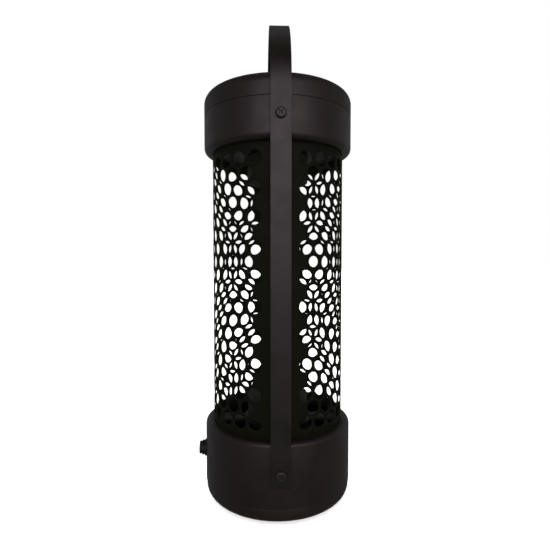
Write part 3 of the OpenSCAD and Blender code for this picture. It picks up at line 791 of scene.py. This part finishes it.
# %% Catch tray
foot_places = around(4, 0.72 * body_r, 0, math.pi / 4) + [((0, 0, 0), (0, 0, 0))]
pad_r, pad_h = 7 * mm, 2.2 * mm
floor_z = tray_low.z
floor_t = 2.6 * mm
rim_r = inner_r - play
rim_t = 2.1 * mm
tray_r = tray_high.x
tray = revolve("catch_tray_shell", rounded([
    (0, floor_z, 0),
    (tray_r, floor_z, 8.6 * mm),
    (tray_r, base_low.z - hairline, 0.3 * mm),
    (rim_r, base_low.z - hairline, 0),
    (rim_r, tray_high.z, 0.5 * mm),
    (rim_r - rim_t, tray_high.z, 0.5 * mm),
    (rim_r - rim_t, floor_z + floor_t, 6 * mm),
    (0, floor_z + floor_t, 0)], 10), 160)
beds = []
for place, _ in foot_places:
    bed = revolve("bed", [(0, -1 * mm), (pad_r + glue_gap, -1 * mm),
                          (pad_r + glue_gap, pad_h), (0, pad_h)], 48)
    bed.data.transform(Matrix.Translation(place))
    beds.append(bed)
cut(tray, beds)
finish(tray, "tray", "tray_plastic", moulded_abs, "catch_tray")

# %% [markdown]
# Each foot is a moulded rubber pad with two shallow rings, which give it grip and show that
# it is not just a disc. One foot is drawn and put on the five places.

# %% Feet
pad = revolve("pad", rounded([
    (0, 0.25 * mm, 0), (2.2 * mm, 0.25 * mm, 0), (2.6 * mm, 0, 0.1 * mm), (4.2 * mm, 0, 0.1 * mm),
    (4.5 * mm, 0.4 * mm, 0.1 * mm), (5.1 * mm, 0.4 * mm, 0.1 * mm), (5.4 * mm, 0, 0.1 * mm),
    (pad_r, 0, 0.5 * mm), (pad_r, pad_h, 0), (0, pad_h, 0)], 3), 48)
feet = repeat("rubber_feet", pad, foot_places, rubber)
finish(feet, "tray", "foot_rubber", rubber, "feet")

# %% [markdown]
# ## Cap band and lid
# The band is a shallow cup that holds the cage's upper end and the lamp's gear. Its lower
# edge is generously rounded. The lid turns into three L-shaped grooves inside the band, so
# both the grooves and the lugs are real and slide in each other when the lid is turned.

# %% Cap band
cap_low, cap_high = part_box("cap_band")
plate_z = cap_low.z + 4 * mm
lamp_hole_r = 8.2 * mm
cap_band = revolve("cap_band_shell", rounded([
    (lamp_hole_r, cap_low.z, 0.3 * mm),
    (groove_in, cap_low.z, 0),
    (groove_in, cage_top, 0),
    (groove_out, cage_top, 0),
    (groove_out, cap_low.z, 0),
    (body_r, cap_low.z, 5.2 * mm),
    (body_r, cap_high.z, 0.25 * mm),
    (inner_r, cap_high.z, 0.3 * mm),
    (inner_r, plate_z, 3 * mm),
    (lamp_hole_r, plate_z, 0.3 * mm)], 8), 160)
lug_starts, lug_angle, lid_turn, slack = (0, 120, 240), 12, 30, 1.5
lug_low, lug_h, lug_out = cap_high.z - 5.2 * mm, 2.2 * mm, 1.3 * mm
groove_r = rim_r + lug_out + play
grooves = []
for start in lug_starts:
    grooves.append(sector("groove", inner_r - 1 * mm, groove_r, lug_low - play,
                          lug_low + lug_h + play, start - slack,
                          lid_turn + lug_angle + 2 * slack))
    grooves.append(sector("slot", inner_r - 1 * mm, groove_r, lug_low - play,
                          cap_high.z + 1 * mm, start + lid_turn - slack,
                          lug_angle + 2 * slack))
cut(cap_band, grooves)
soften(cap_band, 0.25 * mm)
finish(cap_band, "frame", "housing_plastic", moulded_abs, "cap_band")

strap_bosses("cap_bosses", upper_screw_z)

# %% [markdown]
# ### Lid
# The lid is one thin shell with a wide shoulder. Its three lugs ride on the lid, so they turn
# with it, and each starts in the wide part of its groove.

# %% Lid with its bayonet lugs
lid_low, lid_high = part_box("lid")
lid = revolve("lid_shell", rounded([
    (0, lid_high.z, 0),
    (body_r, lid_high.z, 9.3 * mm),
    (body_r, cap_high.z + hairline, 0.25 * mm),
    (rim_r, cap_high.z + hairline, 0),
    (rim_r, lid_low.z, 0.4 * mm),
    (rim_r - rim_t, lid_low.z, 0.4 * mm),
    (rim_r - rim_t, lid_high.z - wall, 6.8 * mm),
    (0, lid_high.z - wall, 0)], 12), 160)
finish(lid, "lid", "lid_plastic", lid_abs_painted_shade, "lid")
work = bmesh.new()
for start in lug_starts:
    lug = sector("lug", rim_r - 0.4 * mm, rim_r + lug_out, lug_low, lug_low + lug_h, start,
                 lug_angle, 8)
    work.from_mesh(lug.data)
    bpy.data.objects.remove(lug)
mesh = bpy.data.meshes.new("lid_lugs")
work.to_mesh(mesh)
work.free()
lugs = soften(new_object("lid_lugs", mesh), 0.3 * mm)
finish(lugs, "lid", "lid_plastic", lid_abs_painted_shade)

# %% [markdown]
# ## Strap handle
# The strap is one strip of steel, sheared with rounded ends, bent over a round former and
# powder-coated. It is modelled the same way: a flat strip gets its thickness and broken
# edges first, and a node tree then bends it, so the edges keep their shape round the arch.

# %% Flat strip
strap_low, strap_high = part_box("strap_handle")
strap_t = 2 * mm
strap_w = strap_high.x - strap_low.x
strap_in = strap_high.y - strap_t
arch_z = strap_high.z - strap_high.y
quarter_arch = math.pi / 2 * strap_in
leg_length = arch_z - strap_low.z
half_length = quarter_arch + leg_length
corner_r = 3 * mm
end_steps, leg_steps, arch_steps = 6, 60, 48
ends = [corner_r * (1 - math.cos(math.pi / 2 * k / end_steps)) for k in range(end_steps + 1)]
leg = [half_length - corner_r - (leg_length - corner_r) * k / leg_steps
       for k in range(1, leg_steps)]
arch = [quarter_arch * (1 - k / arch_steps) for k in range(arch_steps + 1)]
stations = [half_length - d for d in ends] + leg + arch
stations = stations + [-s for s in reversed(stations[:-1])]
across = [-1, -0.6, -0.2, 0.2, 0.6, 1]
work = bmesh.new()
lines = []
for s in stations:
    inset = max(0.0, corner_r - (half_length - abs(s)))
    half = strap_w / 2 - corner_r + math.sqrt(max(corner_r ** 2 - inset ** 2, 0))
    lines.append([work.verts.new((half * share, s, 0)) for share in across])
for here, ahead in zip(lines, lines[1:]):
    for i in range(len(across) - 1):
        work.faces.new((here[i], ahead[i], ahead[i + 1], here[i + 1]))
bmesh.ops.recalc_face_normals(work, faces=work.faces)
if work.faces[0].normal.z < 0:
    bmesh.ops.reverse_faces(work, faces=work.faces)
mesh = bpy.data.meshes.new("strap")
work.to_mesh(mesh)
work.free()
strap = new_object("strap_handle_strip", mesh)
gauge = strap.modifiers.new("gauge", "SOLIDIFY")
gauge.thickness = strap_t
gauge.offset = 1
apply_modifiers(strap)
soften(strap, 0.35 * mm, segments=3, degrees=50)
print("flat strip", round(2 * half_length / mm, 1), "mm long")

# %% [markdown]
# Bending keeps the length of the strip. Every point keeps its distance along the strip and
# its height over it, and only the place of the strip's inner face follows the former.

# %% Bend it over the former
bend, given = tree_of("Bend strip over a former", Radius="Float", Centre="Float",
                      Finish="Material")
spot = add(bend, "GeometryNodeInputPosition")
xyz = add(bend, "ShaderNodeSeparateXYZ", {0: spot}).outputs
quarter = add(bend, "ShaderNodeMath", {0: given["Radius"], 1: math.pi / 2},
              operation="MULTIPLY")
reach = add(bend, "ShaderNodeMath", {0: xyz["Y"]}, operation="ABSOLUTE")
side = add(bend, "ShaderNodeMath", {0: xyz["Y"]}, operation="SIGN")
on_arch = add(bend, "ShaderNodeMath", {0: reach, 1: quarter}, operation="MINIMUM")
bent = add(bend, "ShaderNodeMath", {0: on_arch, 1: given["Radius"]}, operation="DIVIDE")
angle = add(bend, "ShaderNodeMath", {0: bent, 1: side}, operation="MULTIPLY")
past_arch = add(bend, "ShaderNodeMath", {0: reach, 1: quarter}, operation="SUBTRACT")
straight = add(bend, "ShaderNodeMath", {0: past_arch, 1: 0.0}, operation="MAXIMUM")
radius = add(bend, "ShaderNodeMath", {0: given["Radius"], 1: xyz["Z"]}, operation="ADD")
sine = add(bend, "ShaderNodeMath", {0: angle}, operation="SINE")
cosine = add(bend, "ShaderNodeMath", {0: angle}, operation="COSINE")
new_y = add(bend, "ShaderNodeMath", {0: radius, 1: sine}, operation="MULTIPLY")
rise = add(bend, "ShaderNodeMath", {0: radius, 1: cosine, 2: given["Centre"]},
           operation="MULTIPLY_ADD")
new_z = add(bend, "ShaderNodeMath", {0: rise, 1: straight}, operation="SUBTRACT")
place = add(bend, "ShaderNodeCombineXYZ", {"X": xyz["X"], "Y": new_y, "Z": new_z})
moved = add(bend, "GeometryNodeSetPosition", {"Geometry": given["Geometry"], "Position": place})
real = add(bend, "GeometryNodeRealizeInstances", {"Geometry": moved})
coated = add(bend, "GeometryNodeSetMaterial", {"Geometry": real, "Material": given["Finish"]})
add(bend, "NodeGroupOutput", {"Geometry": coated})
grow(strap, bend, Radius=strap_in, Centre=arch_z, Finish=powder_coat)
finish(strap, "frame", "strap_steel", powder_coat, "strap_handle")
print("strap top", round(max(v.co.z for v in strap.data.vertices) / mm, 2))

# %% [markdown]
# ## Strap screws
# Pan heads with a cross recess, as screws of this size have. The recess is cut once into one
# head, and the finished screw is put on its four places.

# %% Strap screws
def pan_screw(radius, height, shank_r, shank_l):
    """Cross-recessed pan-head screw, its seat at z = 0 and its shank downwards."""
    screw = revolve("screw", rounded([
        (0, height, 0), (radius, height, height * 0.72), (radius, 0, 0.15 * mm),
        (shank_r, 0, 0), (shank_r, -shank_l, 0.3 * mm), (0, -shank_l, 0)], 8), 48)
    arms = []
    for turned in (45, 135):
        arm = block("arm", (-radius * 0.56, -radius * 0.11, height * 0.42),
                    (radius * 0.56, radius * 0.11, height * 1.2))
        arm.data.transform(Matrix.Rotation(math.radians(turned), 4, "Z"))
        arms.append(arm)
    return soften(cut(screw, arms), 0.1 * mm)


strap_out = strap_high.y
screw = pan_screw(4.3 * mm, 2.3 * mm, 2 * mm, 15.9 * mm)
screws = repeat("strap_screws", screw, on_strap(strap_out, lower_screw_z)
                + on_strap(strap_out, upper_screw_z), blacked_steel)
finish(screws, "frame", "screw_black", blacked_steel, "strap_screws_lower",
       "strap_screws_upper")

# %% [markdown]
# ## Hubs, rods and lamp
# The hubs are insulators: phenolic cups whose plates hold the ring of high-voltage rods
# round the tube. A small collar round each rod lengthens the creepage path. Rods and collars
# are one shape each, set out on the pitch circle.

# %% Hubs
hub_bottom, hub_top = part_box("lower_hub")
high_bottom, high_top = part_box("upper_hub")
hub_r = hub_top.x
hub_bore_r, hub_plate_t, hub_wall = 8.6 * mm, 2.5 * mm, 2 * mm
rod_r, rod_ring, rod_count = 0.8 * mm, 13.2 * mm, 16


def hub(name, foot, face):
    """Cup-shaped insulator; its plate lies at the height of `face`."""
    way = 1 if face > foot else -1
    return revolve(name, rounded([
        (hub_bore_r, face, 0.3 * mm), (hub_r, face, 2 * mm), (hub_r, foot, 0.3 * mm),
        (hub_r - hub_wall, foot, 0.3 * mm),
        (hub_r - hub_wall, face - way * hub_plate_t, 0.6 * mm),
        (hub_bore_r, face - way * hub_plate_t, 0)]), 96)


lower_hub = hub("lower_hub_cup", hub_bottom.z, hub_top.z)
upper_hub = hub("upper_hub_cup", high_top.z, high_bottom.z)
finish(lower_hub, "frame", "hub_plastic", phenolic, "lower_hub")
finish(upper_hub, "frame", "hub_plastic", phenolic, "upper_hub")


def collars(name, face, flip):
    """Small raised collars round the rods on one hub's face."""
    collar = revolve("collar", rounded([
        (0.85 * mm, -0.2 * mm, 0), (0.85 * mm, 2 * mm, 0.15 * mm), (1.7 * mm, 2 * mm, 0.3 * mm),
        (2.0 * mm, -0.2 * mm, 0)], 3), 24)
    places = [(spot, (math.pi if flip else 0, 0, 0))
              for spot, _ in around(rod_count, rod_ring, face)]
    return finish(repeat(name, collar, places, phenolic), "frame", "hub_plastic", phenolic)


collars("lower_rod_collars", hub_top.z, False)
collars("upper_rod_collars", high_bottom.z, True)

# %% [markdown]
# The rods are drawn wire, cut to length. Live and return rods take turns round the circle, so
# that an insect between any two of them closes the gap.

# %% Grid rods
def rods(name, node, first):
    """Every other rod of the ring, with rounded ends."""
    low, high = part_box(node)
    rod = revolve("rod", rounded([
        (0, low.z, 0), (rod_r, low.z, 0.3 * mm), (rod_r, high.z, 0.3 * mm),
        (0, high.z, 0)], 3), 20)
    places = around(rod_count // 2, rod_ring, 0, first * 2 * math.pi / rod_count)
    return finish(repeat(name, rod, places, brushed_steel), "frame", "grid_steel",
                  brushed_steel, node)


rods("live_rods", "grid_rods_live", 0)
rods("return_rods", "grid_rods_return", 1)

# %% [markdown]
# The lamp is a T5 tube of 16 mm: glass coated with phosphor inside, and a crimped aluminium
# cap on each end. It is off, so it only reads as a milky tube behind the rods.

# %% Lamp
glass_low, glass_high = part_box("lamp_glass")
lamp_r = glass_high.x
lamp = revolve("lamp_tube", rounded([
    (0, glass_low.z, 0), (lamp_r, glass_low.z, 1 * mm), (lamp_r, glass_high.z, 1 * mm),
    (0, glass_high.z, 0)]), 64)
finish(lamp, "frame", "lamp_glass", phosphor_glass, "lamp_glass")

caps_low, caps_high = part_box("lamp_end_caps")


def end_cap(name, shut, mouth):
    """Deep-drawn cap with a rolled bead near its mouth."""
    way = 1 if mouth > shut else -1
    r = caps_high.x
    return revolve(name, rounded([
        (0, shut, 0), (r, shut, 0.8 * mm), (r, shut + way * 5.6 * mm, 0.2 * mm),
        (r - 0.25 * mm, shut + way * 6.2 * mm, 0.2 * mm),
        (r - 0.25 * mm, shut + way * 7.0 * mm, 0.2 * mm), (r, shut + way * 7.6 * mm, 0.2 * mm),
        (r, mouth, 0.2 * mm), (0, mouth, 0)], 4), 64)


cap_l = 9 * mm
lower_cap = end_cap("lamp_cap_lower", caps_low.z, caps_low.z + cap_l)
upper_cap = end_cap("lamp_cap_upper", caps_high.z, caps_high.z - cap_l)
finish(lower_cap, "frame", "lamp_cap_alu", aluminium, "lamp_end_caps")
finish(upper_cap, "frame", "lamp_cap_alu", aluminium)

# %% [markdown]
# ## Cable gland
# A nylon gland screws into the left side of the base. Its neck has three rings that narrow
# outwards, so that it bends with the lead instead of kinking it. No lead is fitted, so the
# bore stays open.

# %% Cable gland
gland_low, gland_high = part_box("cord_gland")
gland_tip, gland_root = -gland_low.x, -gland_high.x
wall_face = body_r + glue_gap
bore_r, thread_r, first_ring_r, taper, groove_deep = [
    size * mm for size in (3.1, 5.9, 7.5, 0.85, 1.7)]
ring_count, ring_part = 3, 0.68
pitch = (gland_tip - wall_face) / (ring_count - 1 + ring_part)
outline = [(bore_r, gland_root, 0.3 * mm), (thread_r, gland_root, 0.4 * mm),
           (thread_r, wall_face, 0)]
for i in range(ring_count):
    ring_r = first_ring_r - taper * i
    start = wall_face + i * pitch
    end = start + ring_part * pitch
    outline += [(ring_r, start, 0.25 * mm), (ring_r, end, 0.4 * mm)]
    if i < ring_count - 1:
        neck_r = ring_r - groove_deep
        outline += [(neck_r, end, 0.2 * mm), (neck_r, start + pitch, 0.1 * mm)]
outline.append((bore_r, gland_tip, 0.4 * mm))
gland = revolve("cord_gland_body", rounded(outline, 4), 64)
gland.data.transform(Matrix.Translation((0, 0, middle_height("cord_gland")))
                     @ Matrix.Rotation(-math.pi / 2, 4, "Y"))
finish(gland, "frame", "gland_nylon", nylon, "cord_gland")

# %% [markdown]
# ## Inner pieces
# Everything behind the sheet and inside the housings keeps the working model's own shape and
# gets the finish of its real material.

# %% Finishes of the working pieces
inner_finish = {
    "housing_plastic": moulded_abs, "lid_plastic": lid_abs_painted_shade, "tray_plastic": moulded_abs,
    "foot_rubber": rubber, "cage_sheet": stoved_enamel, "strap_steel": powder_coat,
    "screw_black": blacked_steel, "zinc_steel": zinc_plate, "hub_plastic": phenolic,
    "socket_plastic": socket_pbt, "lamp_glass": phosphor_glass, "lamp_cap_alu": aluminium,
    "pin_brass": brass, "grid_steel": brushed_steel, "ring_brass": brass,
    "pod_plastic": phenolic, "board_laminate": laminate, "capacitor_film": film_resin,
    "diode_epoxy": epoxy, "ferrite": ferrite, "terminal_nylon": nylon,
    "fuse_glass": fuse_glass, "gland_nylon": nylon, "core_steel": core_plate,
    "coil_wire": coil_varnish, "starter_can": starter_pc, "wire_red": wire_red,
    "wire_pale": wire_pale}
for part in frame["record"]["subparts"]:
    node = frame["nodes"][part["node"]]
    node.data.materials.clear()
    node.data.materials.append(inner_finish[part["material_slot"]])

# %% [markdown]
# ## Floor
# The floor is a sheet of white paper, far larger than the object. It doesn't light the object
# and isn't mirrored in it, since the low panel and the glow of the room already do that work.

# %% Floor
near, far, half_w = -3, 9, 6
floor_mesh = bpy.data.meshes.new("floor")
floor_mesh.from_pydata([(-half_w, near, 0), (half_w, near, 0), (half_w, far, 0),
                        (-half_w, far, 0)], [], [(0, 1, 2, 3)])
floor = new_object("floor", floor_mesh)
floor.data.materials.append(surface("matt paper backdrop", "#f6f6f6", 0.9, variation=0.004,
                                    patch=0.4, relief=0.0, specular=0.2))
floor.visible_diffuse = False
floor.visible_glossy = False
floor_only.objects.link(floor)
